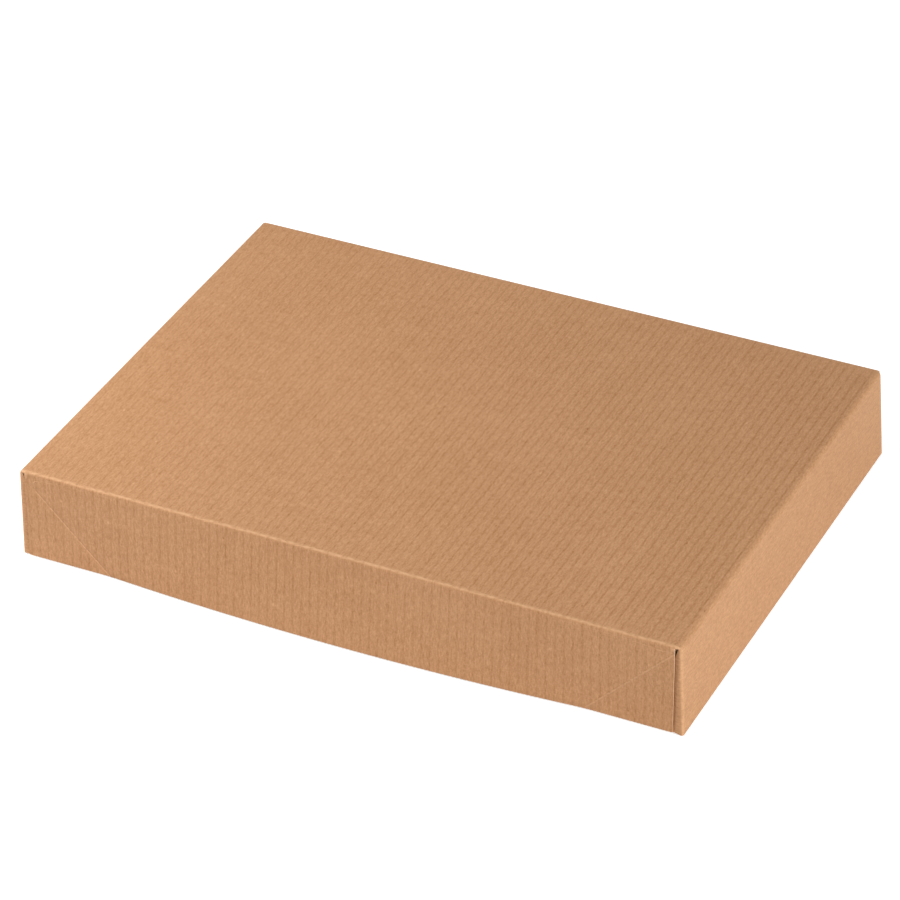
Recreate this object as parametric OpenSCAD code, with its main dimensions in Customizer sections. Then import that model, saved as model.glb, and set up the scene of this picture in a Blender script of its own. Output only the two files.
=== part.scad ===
// Two-piece apparel box of kraft paperboard: a full-depth lid that slips over an open base.
// Each piece is one folded sheet. Its end walls carry glue tabs that turn the corners and are
// stuck inside the long walls. Scores at 45 degrees in the long walls let it fold flat.

/* [Board] */
// Thickness of the paperboard
board_t = 0.5; // [0.35:0.05:0.7]

/* [Lid] */
// Length over the end folds
lid_l = 294; // [200:1:400]
// Width over the long folds
lid_w = 218; // [130:1:320]
// Depth from the top face to the rim
lid_d = 41.3; // [25:0.1:65]
// How far the rim of a long wall bows outwards between its scores
lid_bow = 4.1; // [0.5:0.1:8]
// How far the left end wall leans outwards at its rim
lean_left = 0.5; // [0:0.1:4]
// How far the right end wall leans outwards at its rim
lean_right = 2.1; // [0:0.1:4]

/* [Fit] */
// Gap between the base's walls and the inside of the lid's folds
fit_gap = 0.5; // [0.2:0.1:3]
// Height of the lid's rim above the floor while the lid rests on the base
rim_gap = 0.5; // [0.2:0.1:10]

/* [Folds] */
// Outer radius of the fold along a long edge
fold_r_long = 1; // [0.8:0.1:2]
// Outer radius of the fold along an end
fold_r_end = 2; // [1:0.1:3]
// Outer radius of the upright fold between an end wall and its glue tab
fold_r_corner = 1; // [0.8:0.1:2]
// How far a fold line is pressed in on each face of the board
fold_press = 0.05; // [0.02:0.01:0.1]

/* [Corners] */
// Distance from the end wall's face back to the cut end of a long wall
end_cut = 2.7; // [2.1:0.1:5]
// Height of the slit between the panel and the top of a glue tab
slit_h = 2; // [1:0.1:4]
// Reach of a glue tab along the long wall
tab_reach = 30; // [12:1:35]
// Distance kept between a glue tab and the score
tab_margin = 3; // [1.5:0.5:8]
// Distance kept between a glue tab and the rim
tab_inset = 0.6; // [0.2:0.1:3]

/* [Scores] */
// How far outside the panel's corner the line of a score meets the top of the wall
score_shift = 0.5; // [0:0.1:2]
// Width of the pressed line
score_w = 1.4; // [0.8:0.1:2.5]
// Depth of its groove outside and height of its bead inside
score_h = 0.15; // [0.05:0.05:0.25]
// Distance of its upper end from the cut end of the wall, along the line
score_gap = 1; // [1:0.5:10]

/* [Hidden] */
$fn = 64;

// The base stands inside the lid's end folds, and between the tabs inside its long walls.
base_l = lid_l - 2 * (fold_r_end + fit_gap);
base_w = lid_w - 2 * (max(2 * board_t, fold_r_long) + fit_gap);
// The lid's panel rests on the base's rim.
base_d = lid_d + rim_gap - board_t;
lid_top = base_d + board_t;

// Points along half of a bowed rim, and levels between the rim and the start of its bow
bow_steps = 10;
bow_slices = 4;
// A score meets the cut end of its wall here. The bow starts just below, with no depth there.
score_top = end_cut + score_shift;
bow_start = score_top + board_t;
bow_flat = 0.01;
// A glue tab and its upright fold start at the slit's lower side, clear of the end fold.
tab_top = max(slit_h, fold_r_end);
// How far the flat board laps over each end of a pressed fold
lap = 0.15;
// How deep a bead's foot reaches into the board, and a cutter past what it cuts
bite = 0.2;

kraft = [0.78, 0.6, 0.43];
kraft_inside = [0.72, 0.56, 0.4];

// Half the flat width of an end wall, between its upright folds
function corner_y(w) = w / 2 - board_t - fold_r_corner;

// The pressed board of a fold, turned about the Z axis from +X towards +Y
module fold_ring(r, length, angle)
    rotate_extrude(angle = angle)
        translate([r - board_t + fold_press, 0])
            square([board_t - 2 * fold_press, length]);

// A fold along Y: the sheet leaves the flat panel along +X at z = 0 and turns upwards.
module fold(r, width, angle)
    rotate([90, 0, 0])
        translate([0, r, -width / 2])
            rotate([0, 0, -90])
                fold_ring(r, width, angle);

// The flat panel up to its folds, with a small ear left flat past each cut end of a long wall
module panel(l, w) {
    flat_l = l - 2 * (fold_r_end - lap);
    flat_w = w - 2 * (fold_r_long - lap);
    ear_x = min(l / 2 - end_cut, flat_l / 2 - lap);
    ear_l = l / 2 - fold_r_end / 2 - ear_x;
    ear_w = fold_r_corner + board_t / 2;
    linear_extrude(board_t) {
        square([flat_l, flat_w], center = true);
        for (x = [-1, 1], y = [-1, 1])
            scale([x, y])
                translate([ear_x, corner_y(w)])
                    square([ear_l, ear_w]);
    }
}

// A glue tab, with the upright fold at x = 0 and the slanted side parallel to the score. Its rim
// is cut lower by as much as the lean of the end wall lifts it, and its free end is never a point.
module tab_outline(d, lean_angle) {
    lift = tan(lean_angle);
    rim = d - tab_inset;
    slant = tab_top + tab_margin + score_shift;
    reach = min(tab_reach, (rim - slant - tab_margin) / (1 + lift));
    polygon([
        [-lap, tab_top],
        [tab_margin, slant + tab_margin],
        [reach, slant + reach],
        [reach, rim - reach * lift],
        [-lap, rim]
    ]);
}

// One end wall with its two upright folds and glue tabs, upright and outer face at x = 0
module end_wall(w, d, lean_angle) {
    y = corner_y(w);
    translate([-board_t, -y - lap, fold_r_end - lap])
        cube([board_t, 2 * (y + lap), d - fold_r_end + lap]);
    for (side = [-1, 1])
        scale([1, side, 1]) {
            translate([-fold_r_corner, y, tab_top])
                fold_ring(fold_r_corner, d - tab_top, 90);
            translate([-fold_r_corner, w / 2 - board_t, 0])
                rotate([90, 0, 0])
                    linear_extrude(board_t)
                        mirror([1, 0])
                            tab_outline(d, lean_angle);
        }
}

// An end of the sheet: the fold at the panel's edge and the wall that leans out past upright
module end_side(l, w, d, lean) {
    angle = asin(lean / (d - fold_r_end));
    translate([l / 2 - fold_r_end, 0, 0]) {
        fold(fold_r_end, 2 * corner_y(w), 90 - angle);
        translate([0, 0, fold_r_end])
            rotate([0, angle, 0])
                translate([fold_r_end, 0, -fold_r_end])
                    end_wall(w, d, angle);
    }
}

// The space between a flat wall and its bowed form. The rim is an arc between the two scores,
// and the bow runs out along the scores to nothing near the fold. It has a thin back at y > 0.
module bow_space(l, d, bow, back) {
    half = l / 2 + score_shift - d;
    radius = (half * half + bow * bow) / (2 * bow);
    sweep = asin(half / radius);
    arc = [for (i = [-bow_steps:bow_steps]) sweep * i / bow_steps];
    translate([0, 0, d])
        mirror([0, 0, 1])
            linear_extrude(
                d - bow_start,
                scale = [(l / 2 + score_shift - bow_start) / half, bow_flat],
                slices = bow_slices
            )
                polygon(concat(
                    [[half, back], [-half, back]],
                    [for (a = arc) [radius * sin(a), radius - bow - radius * cos(a)]]
                ));
}

// The rounded section of a pressed line, standing on y = 0, with a foot below it
module score_section() {
    radius = (pow(score_w / 2, 2) + pow(score_h, 2)) / (2 * score_h);
    translate([-score_w / 2, -bite])
        square([score_w, bite]);
    intersection() {
        translate([0, score_h - radius])
            circle(radius);
        translate([-score_w / 2, 0])
            square([score_w, score_h]);
    }
}

// A pressed line along the 45 degree score of the right-hand corner, raised towards +Y
module score_line(l, d, past_rim) {
    start = score_top * sqrt(2) + score_gap;
    translate([l / 2 + score_shift, 0, 0])
        rotate([0, -45, 0])
            translate([0, 0, start])
                linear_extrude((d + past_rim) * sqrt(2) - start)
                    score_section();
}

// One long wall, outer face at y = 0, with its fold at the panel's edge
module long_side(l, d, bow) {
    wall_l = l - 2 * end_cut;
    translate([0, fold_r_long, 0])
        rotate([0, 0, -90])
            fold(fold_r_long, wall_l, 90);
    difference() {
        union() {
            translate([-wall_l / 2, 0, fold_r_long - lap])
                cube([wall_l, board_t, d - fold_r_long + lap]);
            if (bow > 0)
                bow_space(l, d, bow, bite);
        }
        if (bow > 0)
            translate([0, board_t, 0])
                bow_space(l, d, bow, bite);
        for (side = [-1, 1])
            scale([side, 1, 1])
                score_line(l, d, score_w);
    }
    for (side = [-1, 1])
        scale([side, 1, 1])
            translate([0, board_t, 0])
                score_line(l, d, -score_w);
}

// A folded tray that stands on its panel with its rim up
module tray(l, w, d, bow, lean_l, lean_r) {
    panel(l, w);
    end_side(l, w, d, lean_r);
    mirror([1, 0, 0])
        end_side(l, w, d, lean_l);
    for (side = [-1, 1])
        scale([1, side, 1])
            translate([0, -w / 2, 0])
                long_side(l, d, bow);
}

// The lid, upside down over the base, its panel on the base's rim
module lid()
    color(kraft)
        translate([0, 0, lid_top])
            mirror([0, 0, 1])
                tray(lid_l, lid_w, lid_d, lid_bow, lean_left, lean_right);

// The open base, its walls held upright by the lid
module base()
    color(kraft_inside)
        tray(base_l, base_w, base_d, 0, 0, 0);

lid();
base();
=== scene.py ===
# %% [markdown]
# # A kraft apparel box, folded from two flat sheets
# This box is a lid over a base. Each of them is one die-cut sheet of kraft paperboard that
# is bent along its scores, so this lesson makes them the same way: it draws the flat blank,
# lets a Geometry Nodes rule fold it, and gives the board its thickness last.
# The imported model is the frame. It says where each part stands and how large it is.

# %% The frame and the tools
import math

import bpy
from mathutils import Matrix, Vector
from mathutils.geometry import delaunay_2d_cdt


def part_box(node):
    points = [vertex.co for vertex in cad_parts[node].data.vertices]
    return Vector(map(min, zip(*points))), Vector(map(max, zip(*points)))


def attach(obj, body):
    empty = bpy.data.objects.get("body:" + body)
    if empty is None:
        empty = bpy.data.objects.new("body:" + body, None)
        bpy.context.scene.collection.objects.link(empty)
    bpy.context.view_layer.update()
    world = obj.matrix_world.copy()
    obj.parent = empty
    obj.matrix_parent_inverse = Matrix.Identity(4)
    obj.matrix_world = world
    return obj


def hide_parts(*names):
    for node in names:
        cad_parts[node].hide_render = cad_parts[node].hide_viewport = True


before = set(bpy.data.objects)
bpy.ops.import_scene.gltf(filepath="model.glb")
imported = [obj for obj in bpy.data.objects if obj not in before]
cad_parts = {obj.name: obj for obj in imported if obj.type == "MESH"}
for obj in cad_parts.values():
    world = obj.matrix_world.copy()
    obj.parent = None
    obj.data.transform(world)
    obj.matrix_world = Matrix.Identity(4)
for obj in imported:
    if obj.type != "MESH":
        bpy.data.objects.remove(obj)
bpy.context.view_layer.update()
MM = 0.001

# %% [markdown]
# # The camera
# A long lens from far away keeps the box's edges nearly parallel, as a catalogue picture does.
# The camera comes first, so that each later step can be looked at through it.

# %% Camera
CAMERA_AT = Vector((666.12, -1396.92, 1065.59)) * MM
CAMERA_AZIMUTH = math.radians(25.603)
CAMERA_ELEVATION = math.radians(33.876)
CAMERA_ROLL = math.radians(-0.496)
LENS = 178.6

camera = bpy.data.objects.new("camera", bpy.data.cameras.new("camera"))
bpy.context.scene.collection.objects.link(camera)
turn = Matrix.Rotation(CAMERA_AZIMUTH, 4, "Z")
tilt = Matrix.Rotation(math.pi / 2 - CAMERA_ELEVATION, 4, "X")
roll = Matrix.Rotation(CAMERA_ROLL, 4, "Z")
camera.matrix_world = Matrix.Translation(CAMERA_AT) @ turn @ tilt @ roll
camera.data.lens = LENS
camera.data.clip_end = 20
bpy.context.scene.camera = camera
print("camera at", [round(c, 3) for c in CAMERA_AT], "lens", LENS)

# %% [markdown]
# # Wires that do sums
# The folding rule and the finishes are both long sums on sockets. Drawn node by node they
# would be hard to read, so a small class wraps a socket. Adding or multiplying two of them
# adds the Math node that works it out. Any other node comes from one function.

# %% A wire
class Wire:
    """A socket of a node tree that can stand in an expression."""

    def __init__(self, tree, socket):
        self.tree, self.socket = tree, socket

    def math(self, operation, *values):
        return node(self.tree, "ShaderNodeMath", {"operation": operation}, dict(enumerate(values)))

    def __add__(self, other):
        return self.math("ADD", self, other)

    def __sub__(self, other):
        return self.math("SUBTRACT", self, other)

    def __rsub__(self, other):
        return self.math("SUBTRACT", other, self)

    def __mul__(self, other):
        return self.math("MULTIPLY", self, other)

    def __truediv__(self, other):
        return self.math("DIVIDE", self, other)

    def __pow__(self, other):
        return self.math("POWER", self, other)

    def __abs__(self):
        return self.math("ABSOLUTE", self)

    def __gt__(self, other):
        return self.math("GREATER_THAN", self, other)

    def __lt__(self, other):
        return self.math("LESS_THAN", self, other)

    __radd__ = __add__
    __rmul__ = __mul__

    def sin(self):
        return self.math("SINE", self)

    def cos(self):
        return self.math("COSINE", self)

    def sign(self):
        return self.math("SIGN", self)

    def at_least(self, other):
        return self.math("MAXIMUM", self, other)

    def at_most(self, other):
        return self.math("MINIMUM", self, other)

    def folded_every(self, length):
        """Distance to the nearest multiple of a length"""
        return self.math("PINGPONG", self, length / 2)

    def fade(self, start, stop):
        """0 before start and 1 after stop, with soft ends"""
        return node(
            self.tree, "ShaderNodeMapRange", {"interpolation_type": "SMOOTHSTEP"},
            {"Value": self, "From Min": start, "From Max": stop},
        )

    def band(self, rise, fall):
        """1 between a rise and a fall, each given by its start and stop"""
        return self.fade(*rise) * (1 - self.fade(*fall))

    def raised(self, least):
        """Makes 0 to 1 into least to 1"""
        return self * (1 - least) + least


# %% Any other node
def node(tree, kind, settings=None, sockets=None, out=0):
    """Adds a node, sets it up, fills its sockets and returns one output as a Wire."""
    made = tree.nodes.new(kind)
    for name, value in (settings or {}).items():
        setattr(made, name, value)
    for name, value in (sockets or {}).items():
        if isinstance(value, Wire):
            tree.links.new(value.socket, made.inputs[name])
        else:
            made.inputs[name].default_value = value
    return Wire(tree, made.outputs[out]) if len(made.outputs) else made


def output(wire, name):
    """Another output of the node that a wire comes from"""
    return Wire(wire.tree, wire.socket.node.outputs[name])


# %% [markdown]
# # Sizes
# The sheets take their size from the frame, in millimetres. Only what a box can't tell is
# written here: the board, the radii of the folds, and how the corners are cut.

# %% Sizes of the two sheets
BOARD = 0.5
FOLD_LONG = 1.0
FOLD_END = 2.0
FOLD_CORNER = 1.0
FIT_GAP = 0.5
END_CUT = 2.7
TAB_REACH = 30.0
TAB_MARGIN = 3.0
TAB_INSET = 0.6
# A hair of air between a glue tab and the wall that it is stuck to
GLUE_LINE = 0.03
# The 45 degree score starts this far outside the panel's corner.
SCORE_SHIFT = 0.5
SCORE_WIDTH = 1.1
SCORE_DEPTH = 0.17
# Past its upright fold a glue tab dips this far inwards before it meets the long wall.
TAB_DIP_RIGHT = 0.6
TAB_DIP_LEFT = 0.0
# The lid's wide panel hangs down a little in its middle.
LID_SAG = 0.7
# Where an end wall leans out, its corners open sideways by this share of the lean.
CORNER_FLARE = 0.5
# On the left the score fades out this far below the long fold.
SCORE_STOP_LEFT = 5.0


def box_mm(name):
    low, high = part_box(name)
    return low / MM, high / MM


def base_sizes():
    low, high = box_mm("base")
    return {
        "length": high.x - low.x, "width": high.y - low.y, "depth": high.z - low.z,
        "panel": low.z, "up": 1, "sag": 0, "bow": 0, "lean_left": 0, "lean_right": 0,
    }


def lid_sizes(base):
    low, high = box_mm("lid")
    length = base["length"] + 2 * (FOLD_END + FIT_GAP)
    width = base["width"] + 2 * (max(2 * BOARD, FOLD_LONG) + FIT_GAP)
    return {
        "length": length, "width": width, "depth": high.z - low.z,
        "panel": high.z, "up": -1, "sag": LID_SAG, "bow": high.y - width / 2,
        "lean_left": -low.x - length / 2, "lean_right": high.x - length / 2,
    }


base_size = base_sizes()
lid_size = lid_sizes(base_size)
print("base", {k: round(v, 2) for k, v in base_size.items()})
print("lid", {k: round(v, 2) for k, v in lid_size.items()})

# %% [markdown]
# # The blank
# The flat sheet is a panel with a wall on each side. Each end wall has two glue tabs, and
# each long wall is cut a little short, because a tab turns the corner there.
# Millimetres along the blank are also its UV map, so a stripe or a fibre stays on the
# board through every fold.

# %% Where the folds lie on the blank
def arc(radius):
    """Length of board that a right-angled fold takes up"""
    return radius * math.pi / 2


def marks(size):
    """Distances from the blank's middle to its folds, cuts and rims"""
    half_l, half_w = size["length"] / 2, size["width"] / 2
    end_start = half_l - FOLD_END
    long_start = half_w - FOLD_LONG
    tab_start = half_w - BOARD - GLUE_LINE - FOLD_CORNER
    return {
        "cut": half_l - END_CUT,
        "end_start": end_start,
        "end_stop": end_start + arc(FOLD_END),
        "end_rim": end_start + arc(FOLD_END) + size["depth"] - FOLD_END,
        "long_start": long_start,
        "long_stop": long_start + arc(FOLD_LONG),
        "long_rim": long_start + arc(FOLD_LONG) + size["depth"] - FOLD_LONG,
        "tab_start": tab_start,
        "tab_stop": tab_start + arc(FOLD_CORNER),
        "score": half_l + SCORE_SHIFT,
    }


# %% The outline of one corner
# Share of the end fold's arc that stays free above a glue tab
TAB_FREE = 0.38
# Share of the long fold's arc that the ear past a long wall's cut end keeps
EAR_REACH = 0.85
RIM_ROUND = 0.35
ROUND_STEPS = 3


def rounded(centre, radius, start, stop):
    """Points on an arc, with its angles in degrees"""
    shares = [i / ROUND_STEPS for i in range(ROUND_STEPS + 1)]
    angles = [math.radians(start + (stop - start) * share) for share in shares]
    return [(centre[0] + radius * math.cos(a), centre[1] + radius * math.sin(a)) for a in angles]


def corner_outline(m, lean_angle):
    """From the rim of a long wall, round the cuts, to the rim of an end wall"""
    ear = m["long_start"] + arc(FOLD_LONG) * EAR_REACH
    tab_top = m["end_start"] + TAB_FREE * arc(FOLD_END)
    slant = m["end_stop"] + TAB_MARGIN + SCORE_SHIFT
    rim = m["end_rim"] - TAB_INSET
    lift = TAB_REACH * math.tan(lean_angle)
    return [
        *rounded((m["cut"] - RIM_ROUND, m["long_rim"] - RIM_ROUND), RIM_ROUND, 90, 0),
        # An ear of flat board past the cut end narrows towards the slit above the glue tab.
        (m["cut"], ear),
        (m["end_start"], ear - 0.05),
        (m["end_start"] + FOLD_END * 0.5, ear - 0.4),
        (m["end_start"] + FOLD_END * 0.7, m["long_start"] + 0.2),
        (tab_top - 0.2, m["tab_start"]),
        (tab_top, m["tab_stop"] - 0.2),
        (m["end_stop"] + 0.2, m["tab_stop"] + 0.8),
        (slant + TAB_MARGIN, m["tab_stop"] + TAB_MARGIN),
        (slant + TAB_REACH, m["tab_stop"] + TAB_REACH),
        (rim - lift, m["tab_stop"] + TAB_REACH),
        (m["end_rim"] - TAB_MARGIN * math.tan(lean_angle), m["tab_stop"] + TAB_MARGIN),
        (m["end_rim"], m["tab_stop"]),
        (m["end_rim"], m["tab_start"]),
    ]


# %% Points of the whole blank
GRID = 4.0
FOLD_STEPS = 6
# Closer lines beside a fold, where the board is rubbed and painted with a highlight, and where a
# tab dips
RUB_HIGHLIGHT_REACH = 2.6
RUB_HIGHLIGHT_STEPS = 4
DIP_STEPS = 10
# Lines of points along a score, at these shares of its width, kept this far from the cut end
GROOVE_SHARES = (-0.5, -0.25, 0, 0.25, 0.5)
SCORE_CLEAR = 0.3
# How close two points of the blank may be before they count as one
SAME_POINT = 1e-4


def between(start, stop, steps):
    return [start + (stop - start) * i / steps for i in range(steps + 1)]


def spaced(start, stop):
    """Values about a grid step apart"""
    return between(start, stop, max(1, round((stop - start) / GRID)))


def both_ways(values):
    return sorted({round(s * v, 4) for v in values for s in (-1, 1)})


def lean_angles(size):
    wall = size["depth"] - FOLD_END
    return {-1: math.asin(size["lean_left"] / wall), 1: math.asin(size["lean_right"] / wall)}


def blank_outline(m, leans):
    loop = []
    for su, sv in ((1, 1), (-1, 1), (-1, -1), (1, -1)):
        corner = [(su * u, sv * v) for u, v in corner_outline(m, leans[su])]
        loop += corner[::-1] if su == sv else corner
    return loop


def score_lines(m, depth):
    """Lines side by side across the pressed groove of each score, as lists of points"""
    lines = []
    top = m["score"] - m["cut"] + SCORE_CLEAR
    for share in GROOVE_SHARES:
        aside = share * SCORE_WIDTH * math.sqrt(2)
        heights = spaced(top + max(aside, 0), depth)
        for su in (-1, 1):
            for sv in (-1, 1):
                lines.append([
                    (su * (m["score"] - h + aside), sv * (m["long_stop"] + h - FOLD_LONG))
                    for h in heights
                ])
    return lines


def panel_points(m):
    """A grid over the panel and the long walls, closer at the folds and the cut ends"""
    beside = m["cut"] - RUB_HIGHLIGHT_REACH
    across = spaced(0, beside) + between(beside, m["cut"], RUB_HIGHLIGHT_STEPS)
    beside = m["long_start"] - RUB_HIGHLIGHT_REACH
    along = spaced(0, beside) + between(beside, m["long_start"], RUB_HIGHLIGHT_STEPS)
    along += between(m["long_start"], m["long_stop"], FOLD_STEPS)
    along += spaced(m["long_stop"], m["long_rim"])
    return [(u, v) for u in both_ways(across) for v in both_ways(along)]


def end_points(m):
    """A grid over the end walls and their glue tabs, closer at the folds and the dips"""
    across = between(m["end_start"], m["end_stop"], FOLD_STEPS)
    across += spaced(m["end_stop"], m["end_rim"])
    beside, dipped = m["tab_start"] - RUB_HIGHLIGHT_REACH, m["tab_stop"] + 2 * TAB_MARGIN
    along = spaced(0, beside) + between(beside, m["tab_start"], RUB_HIGHLIGHT_STEPS)
    along += between(m["tab_start"], m["tab_stop"], FOLD_STEPS)
    along += between(m["tab_stop"], dipped, DIP_STEPS)
    along += spaced(dipped, m["tab_stop"] + TAB_REACH)
    return [(u, v) for u in both_ways(across) for v in both_ways(along)]


def blank_mesh(name, size):
    """The flat sheet as one layer of triangles"""
    m = marks(size)
    outline = blank_outline(m, lean_angles(size))
    points = list(outline)
    edges = []
    for line in score_lines(m, size["depth"]):
        edges += [(len(points) + i, len(points) + i + 1) for i in range(len(line) - 1)]
        points += line
    points += panel_points(m) + end_points(m)
    face = list(range(len(outline)))
    flat = [Vector(p) for p in points]
    found, _, triangles, *_ = delaunay_2d_cdt(flat, edges, [face], 1, SAME_POINT)
    # Grid points outside the outline belong to no triangle and are left out.
    used = sorted({i for t in triangles for i in t})
    number = {old: new for new, old in enumerate(used)}
    mesh = bpy.data.meshes.new(name)
    mesh.from_pydata(
        [(found[i].x * MM, found[i].y * MM, 0) for i in used], [],
        [[number[i] for i in t] for t in triangles],
    )
    uv = mesh.uv_layers.new(name="blank_mm")
    for corner in mesh.loops:
        uv.data[corner.index].uv = mesh.vertices[corner.vertex_index].co.xy / MM
    return mesh


base_blank = blank_mesh("base_blank", base_size)
lid_blank = blank_mesh("lid_blank", lid_size)
print("blanks of", len(base_blank.polygons), "and", len(lid_blank.polygons), "triangles")

# %% [markdown]
# # The finish of the board
# Kraft board is unbleached: a warm brown with fibres, clouds and a few flecks, darker and
# lighter than the rest. The outside carries thin pressed stripes a few millimetres apart.
# Folds are rubbed a little lighter and carry a painted highlight, and the cut edge shows the paler
# middle of the board.
# All of it is worked out from the blank's millimetres.

# %% Colours of the board
KRAFT = (0.519, 0.270, 0.130, 1)
KRAFT_INSIDE = (0.500, 0.278, 0.145, 1)
KRAFT_EDGE = (0.78, 0.53, 0.34, 1)
# Rubbed kraft, also used for painted highlights
KRAFT_RUBBED_AND_LIT = (0.68, 0.39, 0.21, 1)
# What one unit of lightness adds to kraft: a dark speck is also warmer, a light one paler.
KRAFT_STEP = (0.517, 0.359, 0.239)
STRIPE_PITCH = 3.822
STRIPE_FIRST = 2.35
# How far from a stripe's middle its darkness starts and stops fading
STRIPE_SIDE = (0.05, 0.85)
# A stripe's strength: on a wall, how much more on the panel, how much more for each
# millimetre to the right there, and the share that an end wall loses. The rise to the right is
# painted light: less sheen washes the stripes out there.
STRIPE_WALL, STRIPE_PANEL, STRIPE_RISE, STRIPE_END_LOSS = 0.54, 0.16, 0.0017, 0.7
# Where the panel's stronger stripes fade into the wall's, from the blank's middle
PANEL_EDGE = (95, 110)
# What a stripe and a fleck take from or add to the lightness
STRIPE_DARK, FLECK_DARK, FLECK_LIGHT = 0.18, 0.22, 0.18
# Shares of clouds, mottling, fibres and tooth in the lightness and in the relief
OUTSIDE_TONE, OUTSIDE_RELIEF = (0.08, 0.19, 0.36, 0.26), (0, 0.4, 0.5, 0.45)
INSIDE_TONE, INSIDE_RELIEF = (0.07, 0.14, 0.22, 0.16), (0, 0.6, 0.4, 0.5)
STRIPE_RELIEF = 0.55
# Depths of the relief in millimetres, and how rough each side is
OUTSIDE_BUMP, INSIDE_BUMP, EDGE_BUMP = 0.02, 0.05, 0.05
OUTSIDE_ROUGH, INSIDE_ROUGH, EDGE_ROUGH = 0.62, 0.75, 0.85
# Across a pressed score, in half widths: where its painted shade and its lighter side lie, how
# each fades away from there, and how strong it is. The painted shade lies on the flank that faces
# down, stronger on the left; the lighter side is rubbed board and a painted highlight.
SHADE_AT, SHADE_SIDE, SHADE_LEFT, SHADE_RIGHT = 0.55, (0.1, 0.9), 0.14, 0.07
BURR_HIGHLIGHT_AT, BURR_HIGHLIGHT_SIDE, BURR_AND_HIGHLIGHT = 0.35, (0.2, 1.0), 0.75
# Stands for a place that no score crosses
NO_SCORE = 9


def noise(where, stretch, seed, detail=2.0, roughness=0.5):
    """Smooth noise about a half, with features of 1 mm times the stretch along each way"""
    tree = where.tree
    scale = (1 / stretch[0], 1 / stretch[1], 1)
    scaled = node(
        tree, "ShaderNodeMapping", None,
        {"Vector": where, "Location": (seed, seed / 2, 0), "Scale": scale},
    )
    return node(
        tree, "ShaderNodeTexNoise", {"noise_dimensions": "2D"},
        {"Vector": scaled, "Scale": 1.0, "Detail": detail, "Roughness": roughness},
    )


def mixed(tree, share, first, second):
    """A blend of two colours"""
    return node(
        tree, "ShaderNodeMix", {"data_type": "RGBA"}, {0: share, 6: first, 7: second}, out=2
    )


def weighed(parts, shares):
    """The sum of some parts, each times its share"""
    terms = [part * share for part, share in zip(parts, shares) if share]
    return sum(terms[1:], terms[0])


def shaded(tree, colour, lighter):
    """A colour made lighter, or darker where the number is below zero"""
    return node(
        tree, "ShaderNodeVectorMath", {"operation": "MULTIPLY_ADD"},
        {0: lighter, 1: KRAFT_STEP, 2: colour[:3]},
    )


def new_material(name):
    made = bpy.data.materials.new(name)
    made.use_nodes = True
    made.node_tree.nodes.clear()
    return made, made.node_tree


GLOSS = 0.25


def finished(tree, colour, roughness, bump):
    """Ends a material in one shader"""
    sockets = {"Base Color": colour, "Roughness": roughness, "Normal": bump}
    sockets["Specular IOR Level"] = GLOSS
    shader = node(tree, "ShaderNodeBsdfPrincipled", None, sockets)
    node(tree, "ShaderNodeOutputMaterial", None, {"Surface": shader})


def relief(tree, distance, height, strength=1.0):
    """Bump of a depth in millimetres"""
    return node(
        tree, "ShaderNodeBump", None,
        {"Strength": strength, "Distance": distance * MM, "Height": height},
    )


# %% The grain that every side of the board has
def grain(where):
    """Clouds, mottling, fibres and fine tooth, each about zero. Sizes are in millimetres."""
    clouds = noise(where, (45, 60), 3) - 0.5
    mottling = noise(where, (6, 8), 11, 3.0, 0.6) - 0.5
    fibres = noise(where, (0.75, 2.4), 29, 1.0) - 0.5
    tooth = noise(where, (0.6, 0.8), 47, 1.0) - 0.5
    return clouds, mottling, fibres, tooth


# Lengths along the stripes count for this much, so a fleck is longer that way. This share
# of the flecks is left out, and a fleck is at full strength up to this share of its size.
FLECK_STRETCH, FLECK_LEFT_OUT, FLECK_CORE = 0.6, 0.55, 0.4


def flecks(where, spacing, size, seed):
    """Sparse short specks: 1 on a speck and 0 elsewhere"""
    tree = where.tree
    scale = (1 / spacing, FLECK_STRETCH / spacing, 1)
    scaled = node(
        tree, "ShaderNodeMapping", None,
        {"Vector": where, "Location": (seed, seed, 0), "Scale": scale},
    )
    cell = node(
        tree, "ShaderNodeTexVoronoi", {"voronoi_dimensions": "2D"},
        {"Vector": scaled, "Scale": 1.0},
    )
    chosen = node(tree, "ShaderNodeSeparateColor", None, {0: output(cell, "Color")})
    chosen = chosen > FLECK_LEFT_OUT
    return (1 - cell.fade(size * FLECK_CORE / spacing, size / spacing)) * chosen


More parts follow.
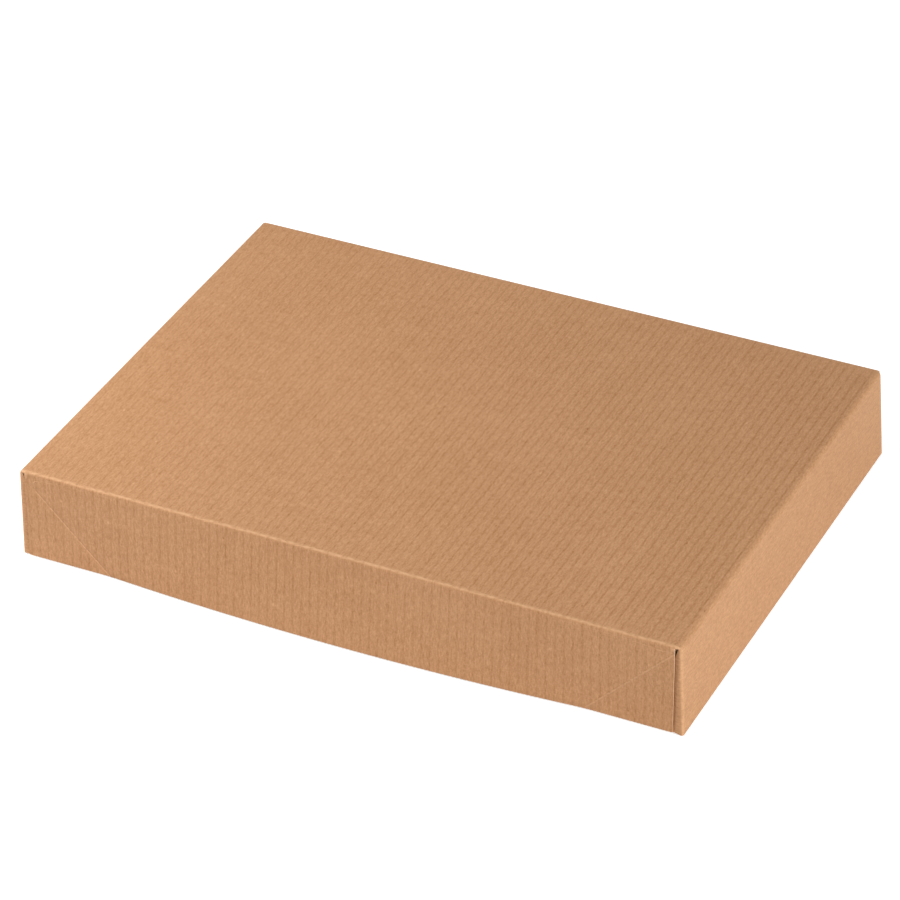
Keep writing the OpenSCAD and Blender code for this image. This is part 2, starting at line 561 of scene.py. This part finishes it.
# %% The striped outside
def outside_material():
    made, tree = new_material("kraft_outside")
    where = node(tree, "ShaderNodeUVMap", {"uv_map": "blank_mm"})
    u = node(tree, "ShaderNodeSeparateXYZ", None, {0: where})
    v = output(u, "Y")
    parts = grain(where)
    # Rubbed folds: lighter board, partly a painted highlight
    wear_and_highlight = node(tree, "ShaderNodeAttribute", {"attribute_name": "wear_and_highlight"}, out=2)
    across = node(tree, "ShaderNodeAttribute", {"attribute_name": "across_score"}, out=2)
    faint = node(tree, "ShaderNodeAttribute", {"attribute_name": "end_wall"}, out=2)
    wobble = (noise(where, (2, 9), 71, 3.0) - 0.5) * 0.6
    aside = (u + wobble - STRIPE_FIRST).folded_every(STRIPE_PITCH)
    broken = noise(where, (1.2, 4), 83, 2.0).fade(0.28, 0.62).raised(0.5)
    on_panel = 1 - abs(v).fade(*PANEL_EDGE)
    # Stripes stronger towards the right of the panel: painted light, where less sheen falls
    stripe_strength = STRIPE_WALL + on_panel * (u * STRIPE_RISE + STRIPE_PANEL)
    stripe_strength = stripe_strength * (1 - faint * STRIPE_END_LOSS)
    stripe = (1 - aside.fade(*STRIPE_SIDE)) * broken * stripe_strength
    dark = flecks(where, 26, 0.5, 5)
    light = flecks(where, 24, 0.6, 15)
    tone = weighed(parts, OUTSIDE_TONE)
    tone = tone - stripe * STRIPE_DARK - dark * FLECK_DARK + light * FLECK_LIGHT
    # Painted shade on the side of a score's groove that faces down
    painted_groove_shade = 1 - abs(across + SHADE_AT).fade(*SHADE_SIDE)
    painted_groove_shade = painted_groove_shade * (SHADE_LEFT - (u > 0) * (SHADE_LEFT - SHADE_RIGHT))
    colour = shaded(tree, KRAFT, tone - painted_groove_shade)
    patchy = noise(where, (2.4, 1.0), 91, 3.0).fade(0.30, 0.64).raised(0.25)
    # The groove's other side: rubbed lighter board and a painted highlight on the flank that faces
    # up
    burr_and_highlight = (1 - abs(across - BURR_HIGHLIGHT_AT).fade(*BURR_HIGHLIGHT_SIDE)) * BURR_AND_HIGHLIGHT
    colour = mixed(tree, wear_and_highlight.at_least(burr_and_highlight) * patchy, colour, KRAFT_RUBBED_AND_LIT)
    height = weighed(parts, OUTSIDE_RELIEF) - stripe * STRIPE_RELIEF
    mottling = parts[1]
    roughness = OUTSIDE_ROUGH + mottling * 0.1 + wear_and_highlight * 0.1
    finished(tree, colour, roughness, relief(tree, OUTSIDE_BUMP, height))
    return made


# %% The plain inside and the cut edge
def inside_material():
    made, tree = new_material("kraft_inside")
    where = node(tree, "ShaderNodeUVMap", {"uv_map": "blank_mm"})
    parts = grain(where)
    tone = weighed(parts, INSIDE_TONE) - flecks(where, 22, 0.5, 35) * 0.25
    bump = relief(tree, INSIDE_BUMP, weighed(parts, INSIDE_RELIEF))
    mottling = parts[1]
    finished(tree, shaded(tree, KRAFT_INSIDE, tone), INSIDE_ROUGH + mottling * 0.1, bump)
    return made


def edge_material():
    made, tree = new_material("kraft_cut_edge")
    where = node(tree, "ShaderNodeUVMap", {"uv_map": "blank_mm"})
    ragged = noise(where, (1.2, 1.2), 51, 3.0) - 0.5
    bump = relief(tree, EDGE_BUMP, ragged, 0.8)
    finished(tree, shaded(tree, KRAFT_EDGE, ragged * 0.35), EDGE_ROUGH + ragged * 0.1, bump)
    return made


outside, inside, cut_edge = outside_material(), inside_material(), edge_material()
print("finishes", outside.name, inside.name, cut_edge.name)

# %% [markdown]
# # The folding rule
# Board doesn't stretch, so a fold turns a straight line into an arc of the same length, and
# what lies beyond it goes on straight. Each point of the blank needs only its distance
# past a fold to find its place. The rule is a node tree with named sizes, so the same tree
# folds the lid and the base.

# %% One fold
def bend(past, radius, angle):
    """Where board goes that lies some way past the start of a fold: forwards and inwards"""
    turned = (past / radius).at_least(0).at_most(angle)
    straight = (past - turned * radius).at_least(0)
    before = past.at_most(0)
    forwards = before + turned.sin() * radius + straight * turned.cos()
    inwards = (1 - turned.cos()) * radius + straight * turned.sin()
    return forwards, inwards, turned


# %% The inputs of the tree
SIZE_INPUTS = ("length", "width", "depth", "panel", "up", "sag", "bow", "lean left", "lean right")


def tree_inputs(tree):
    tree.interface.new_socket("Blank", in_out="INPUT", socket_type="NodeSocketGeometry")
    for name in SIZE_INPUTS:
        tree.interface.new_socket(name, in_out="INPUT", socket_type="NodeSocketFloat")
    for name in ("outside", "inside", "cut edge"):
        tree.interface.new_socket(name, in_out="INPUT", socket_type="NodeSocketMaterial")
    tree.interface.new_socket("Sheet", in_out="OUTPUT", socket_type="NodeSocketGeometry")
    start = tree.nodes.new("NodeGroupInput")
    return {s.name: Wire(tree, s) for s in start.outputs if s.name}


# %% Where the board is pressed, rubbed and painted with highlights, in millimetres
# A point past this share of the end fold's radius belongs to an end wall.
END_SHARE = 0.75
# Behind the cut end of a long wall: where a glue tab's dip starts and stops, and how much
# of it is left out at the rim
DIP_RISE, DIP_FALL, DIP_RIM_LOSS = (-2.0, 0.3), (0.8, 6.0), 0.6
# Where the opened corner goes back to the line of the long wall
FLARE_FALL = (-2.5, 0.2)
# Past the start of the long fold: the ridge, rubbed and with a painted highlight, and how much of
# it is left at the back
RIDGE_RISE, RIDGE_FALL, RIDGE_BACK = (-1.1, 0.1), (0.3, 1.1), 0.2
# The cut end of a long wall: how far inside it the rubbing and painted highlight start and end,
# and how wide it is
CUT_RUBBED = (2.2, 0.6)
CUT_RISE, CUT_FALL = (-0.9, 0.3), (2.2, 3.4)
# Past the start of the upright fold: its corner, rubbed and with a painted highlight, and how
# strong that is on each side. The left corner is lighter as painted light from the left.
CORNER_RISE, CORNER_FALL = (-2.4, 0.6), (0.9, 2.2)
CORNER_LEFT, CORNER_RIGHT = 0.9, 0.45


def rubbing_and_highlights(u, v, cut, long_start, tab_start):
    """How rubbed the board is and how strong its painted highlight: at the corners of an end wall,
    and beside the long folds
    """
    past_long, past_tab = abs(v) - long_start, abs(v) - tab_start
    on_corner = past_tab.band(CORNER_RISE, CORNER_FALL)
    on_corner = on_corner * (CORNER_LEFT - (u > 0) * (CORNER_LEFT - CORNER_RIGHT))
    on_ridge = past_long.band(RIDGE_RISE, RIDGE_FALL) * (v < 0).raised(RIDGE_BACK)
    at_cut = abs(u).fade(cut - CUT_RUBBED[0], cut - CUT_RUBBED[1])
    on_ridge = on_ridge.at_least(at_cut * past_long.band(CUT_RISE, CUT_FALL))
    return on_corner, on_ridge


# %% Where each point goes
def folded_place(tree, sizes):
    """Each point's folded place, how rubbed it is with its painted highlight, its place across a
    score, and 1 on an end wall"""
    place = node(tree, "GeometryNodeInputPosition")
    flat = node(tree, "ShaderNodeSeparateXYZ", None, {0: place})
    u, v = flat / MM, output(flat, "Y") / MM
    half_l, half_w = sizes["length"] * 0.5, sizes["width"] * 0.5
    end_start, long_start = half_l - FOLD_END, half_w - FOLD_LONG
    tab_start = half_w - (BOARD + GLUE_LINE + FOLD_CORNER)
    cut = half_l - END_CUT
    on_right = u > 0
    lean = sizes["lean right"] * on_right + sizes["lean left"] * (1 - on_right)
    end_angle = math.pi / 2 - lean
    out, down, end_turn = bend(abs(u) - end_start, FOLD_END, end_angle)
    side, drop, _ = bend(abs(v) - long_start, FOLD_LONG, math.pi / 2)
    tab_side, back, _ = bend(abs(v) - tab_start, FOLD_CORNER, math.pi / 2)
    end_wall = abs(u) > end_start + FOLD_END * END_SHARE

    def pick(here, elsewhere):
        return here * end_wall + elsewhere * (1 - end_wall)

    in_score = abs(u) + drop - (half_l + SCORE_SHIFT)
    bow_end = (half_l + SCORE_SHIFT - drop).at_least(1)
    low = ((drop - END_CUT) / (sizes["depth"] - END_CUT)).at_least(0)
    belly = (1 - (u / bow_end) ** 2).at_least(0) * low
    across = in_score * math.sqrt(2) / SCORE_WIDTH
    started = (drop > END_CUT) * on_right.at_least(drop > SCORE_STOP_LEFT)
    groove = (1 - across ** 2).at_least(0) * started
    long_side = long_start + side + sizes["bow"] * belly - groove * SCORE_DEPTH
    reach = end_start + out - pick(back * end_turn.sin(), 0)
    behind = cut - reach
    dip = behind.band(DIP_RISE, DIP_FALL)
    dip = dip * (TAB_DIP_LEFT + on_right * (TAB_DIP_RIGHT - TAB_DIP_LEFT))
    dip = dip * (1 - down / sizes["depth"] * DIP_RIM_LOSS)
    flare = lean * (down - FOLD_END).at_least(0) * CORNER_FLARE
    flare = flare * (abs(v) / tab_start).at_most(1) * (1 - behind.fade(*FLARE_FALL))
    x = reach * u.sign()
    y = pick(tab_start + tab_side - dip + flare, long_side) * v.sign()
    hanging = (1 - (u / end_start) ** 2).at_least(0) * (1 - (v / long_start) ** 2).at_least(0)
    rise = down + pick(back * end_turn.cos(), drop) + sizes["sag"] * hanging
    z = sizes["panel"] + rise * sizes["up"]
    folded = node(tree, "ShaderNodeCombineXYZ", None, {0: x * MM, 1: y * MM, 2: z * MM})
    off_score = across * started + (1 - started) * NO_SCORE
    wear_and_highlight = pick(*rubbing_and_highlights(u, v, cut, long_start, tab_start))
    return folded, wear_and_highlight, pick(NO_SCORE, off_score), end_wall


# %% The whole tree
# The two faces of the sheet are joined where their points are this near.
WELD = 0.001


def stored(tree, geometry, name, value):
    return node(
        tree, "GeometryNodeStoreNamedAttribute", {"data_type": "FLOAT", "domain": "POINT"},
        {"Geometry": geometry, "Name": name, "Value": value},
    )


def folding_tree():
    tree = bpy.data.node_groups.new("fold_a_blank", "GeometryNodeTree")
    sizes = tree_inputs(tree)
    folded, wear_and_highlight, across, end_wall = folded_place(tree, sizes)
    sheet = stored(tree, sizes["Blank"], "wear_and_highlight", wear_and_highlight)
    sheet = stored(tree, sheet, "across_score", across)
    sheet = stored(tree, sheet, "end_wall", end_wall)
    sheet = node(tree, "GeometryNodeSetPosition", None, {"Geometry": sheet, "Position": folded})
    # The panel faces away from the walls, so the lid's sheet is already the right way round.
    facing_down = sizes["up"] > 0
    sheet = node(tree, "GeometryNodeFlipFaces", None, {"Mesh": sheet, "Selection": facing_down})
    sheet = node(
        tree, "GeometryNodeSetMaterial", None, {"Geometry": sheet, "Material": sizes["outside"]}
    )
    inner = node(
        tree, "GeometryNodeExtrudeMesh", {"mode": "FACES"},
        {"Mesh": sheet, "Offset Scale": -BOARD * MM, "Individual": False},
    )
    top, rim = output(inner, "Top"), output(inner, "Side")
    inner = node(
        tree, "GeometryNodeSetMaterial", None,
        {"Geometry": inner, "Selection": top, "Material": sizes["inside"]},
    )
    inner = node(
        tree, "GeometryNodeSetMaterial", None,
        {"Geometry": inner, "Selection": rim, "Material": sizes["cut edge"]},
    )
    inner = node(tree, "GeometryNodeFlipFaces", None, {"Mesh": inner})
    join = tree.nodes.new("GeometryNodeJoinGeometry")
    tree.links.new(inner.socket, join.inputs[0])
    tree.links.new(sheet.socket, join.inputs[0])
    whole = node(
        tree, "GeometryNodeMergeByDistance", None,
        {"Geometry": Wire(tree, join.outputs[0]), "Distance": WELD * MM},
    )
    whole = node(tree, "GeometryNodeSetShadeSmooth", None, {"Geometry": whole})
    whole = node(tree, "GeometryNodeRealizeInstances", None, {"Geometry": whole})
    tree.links.new(whole.socket, tree.nodes.new("NodeGroupOutput").inputs[0])
    return tree


fold_rule = folding_tree()
print("folding rule with", len(fold_rule.nodes), "nodes")

# %% [markdown]
# # Folding the two sheets
# The tree runs once on each blank. Its result becomes a plain mesh, with the rims marked
# sharp and the folds left smooth, and takes the place of the plain part in the frame.

# %% Fold a blank
SHARP = math.radians(50)


def set_inputs(modifier, values):
    """Sets a tree's inputs by their identifiers"""
    for item in modifier.node_group.interface.items_tree:
        if item.item_type == "SOCKET" and item.in_out == "INPUT" and item.name in values:
            modifier[item.identifier] = values[item.name]


def folded_sheet(name, blank, size):
    flat = bpy.data.objects.new(name + "_blank", blank)
    bpy.context.scene.collection.objects.link(flat)
    leans = lean_angles(size)
    modifier = flat.modifiers.new("fold", "NODES")
    modifier.node_group = fold_rule
    values = {k: float(size[k]) for k in ("length", "width", "depth", "panel", "up", "sag", "bow")}
    values.update({"lean left": leans[-1], "lean right": leans[1]})
    values.update({"outside": outside, "inside": inside, "cut edge": cut_edge})
    set_inputs(modifier, values)
    ready = flat.evaluated_get(bpy.context.evaluated_depsgraph_get())
    mesh = bpy.data.meshes.new_from_object(ready)
    bpy.data.objects.remove(flat)
    mesh.name = name
    mesh.set_sharp_from_angle(angle=SHARP)
    sheet = bpy.data.objects.new(name, mesh)
    bpy.context.scene.collection.objects.link(sheet)
    print(name, len(mesh.polygons), "faces", [m.name for m in mesh.materials])
    return sheet


# %% The lid and the base
for part, blank, size in (("base", base_blank, base_size), ("lid", lid_blank, lid_size)):
    sheet = folded_sheet(part + "_sheet", blank, size)
    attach(sheet, part)
    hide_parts(part)
    "kraft_" + part

# %% [markdown]
# # The studio
# A large pale floor and a few big soft lamps. The background is plain white to the camera,
# and the lamps stay at a level where the board shows its own colour.

# %% Floor and background
FLOOR = 8.0
FLOOR_GAP = 0.0002
FLOOR_COLOUR = (0.86, 0.86, 0.86, 1)
# What the floor shows the camera on top of the light that it gets
FLOOR_GLOW = 0.55
WORLD_LIGHT = 0.12


def seen_directly(tree):
    """1 for rays from the camera, from a reflection and through glass, and 0 for the rest"""
    path = node(tree, "ShaderNodeLightPath")
    reflected, through = output(path, "Is Glossy Ray"), output(path, "Is Transmission Ray")
    return path.at_least(reflected).at_least(through)


def floor_material():
    made, tree = new_material("studio_floor")
    matt = node(tree, "ShaderNodeBsdfDiffuse", None, {"Color": FLOOR_COLOUR})
    glow = node(tree, "ShaderNodeEmission", None, {"Strength": seen_directly(tree) * FLOOR_GLOW})
    both = node(tree, "ShaderNodeAddShader", None, {0: matt, 1: glow})
    node(tree, "ShaderNodeOutputMaterial", None, {"Surface": both})
    return made


def flat_square(name, half, material):
    mesh = bpy.data.meshes.new(name)
    corners = [(-half, -half, 0), (half, -half, 0), (half, half, 0), (-half, half, 0)]
    mesh.from_pydata(corners, [], [(0, 1, 2, 3)])
    mesh.materials.append(material)
    made = bpy.data.objects.new(name, mesh)
    bpy.context.scene.collection.objects.link(made)
    return made


floor = flat_square("floor", FLOOR / 2, floor_material())
floor.location.z = -FLOOR_GAP

world = bpy.data.worlds.new("studio_world")
bpy.context.scene.world = world
world.use_nodes = True
world.node_tree.nodes.clear()
sky = node(
    world.node_tree, "ShaderNodeBackground", None,
    {"Color": (1, 1, 1, 1), "Strength": seen_directly(world.node_tree).raised(WORLD_LIGHT)},
)
node(world.node_tree, "ShaderNodeOutputWorld", None, {"Surface": sky})

# %% Lamps
# Each lamp: azimuth and elevation from the box, distance and size in metres, watts and tint
LAMPS = {
    "front_right": (50, 25, 1.8, 0.9, 14.0, (1.0, 0.98, 0.95)),
    "right": (80, 25, 1.8, 0.9, 16.2, (0.95, 0.985, 1.0)),
    "left": (-70, 40, 0.75, 0.4, 4.6, (1.0, 1.0, 1.0)),
}


def lamp(name, azimuth, elevation, distance, size, watts, tint):
    """A square softbox that looks at the box"""
    a, e = math.radians(azimuth), math.radians(elevation)
    back = Vector((math.sin(a) * math.cos(e), -math.cos(a) * math.cos(e), math.sin(e)))
    data = bpy.data.lights.new(name, "AREA")
    data.size = size
    data.energy = watts
    data.color = tint
    made = bpy.data.objects.new(name, data)
    bpy.context.scene.collection.objects.link(made)
    facing = back.to_track_quat("Z", "Y").to_matrix().to_4x4()
    made.matrix_world = Matrix.Translation(back * distance) @ facing
    made.visible_camera = False
    return made


for name, values in LAMPS.items():
    lamp(name, *values)
print("lamps", list(LAMPS))

# %% View settings
bpy.context.scene.view_settings.view_transform = "Standard"
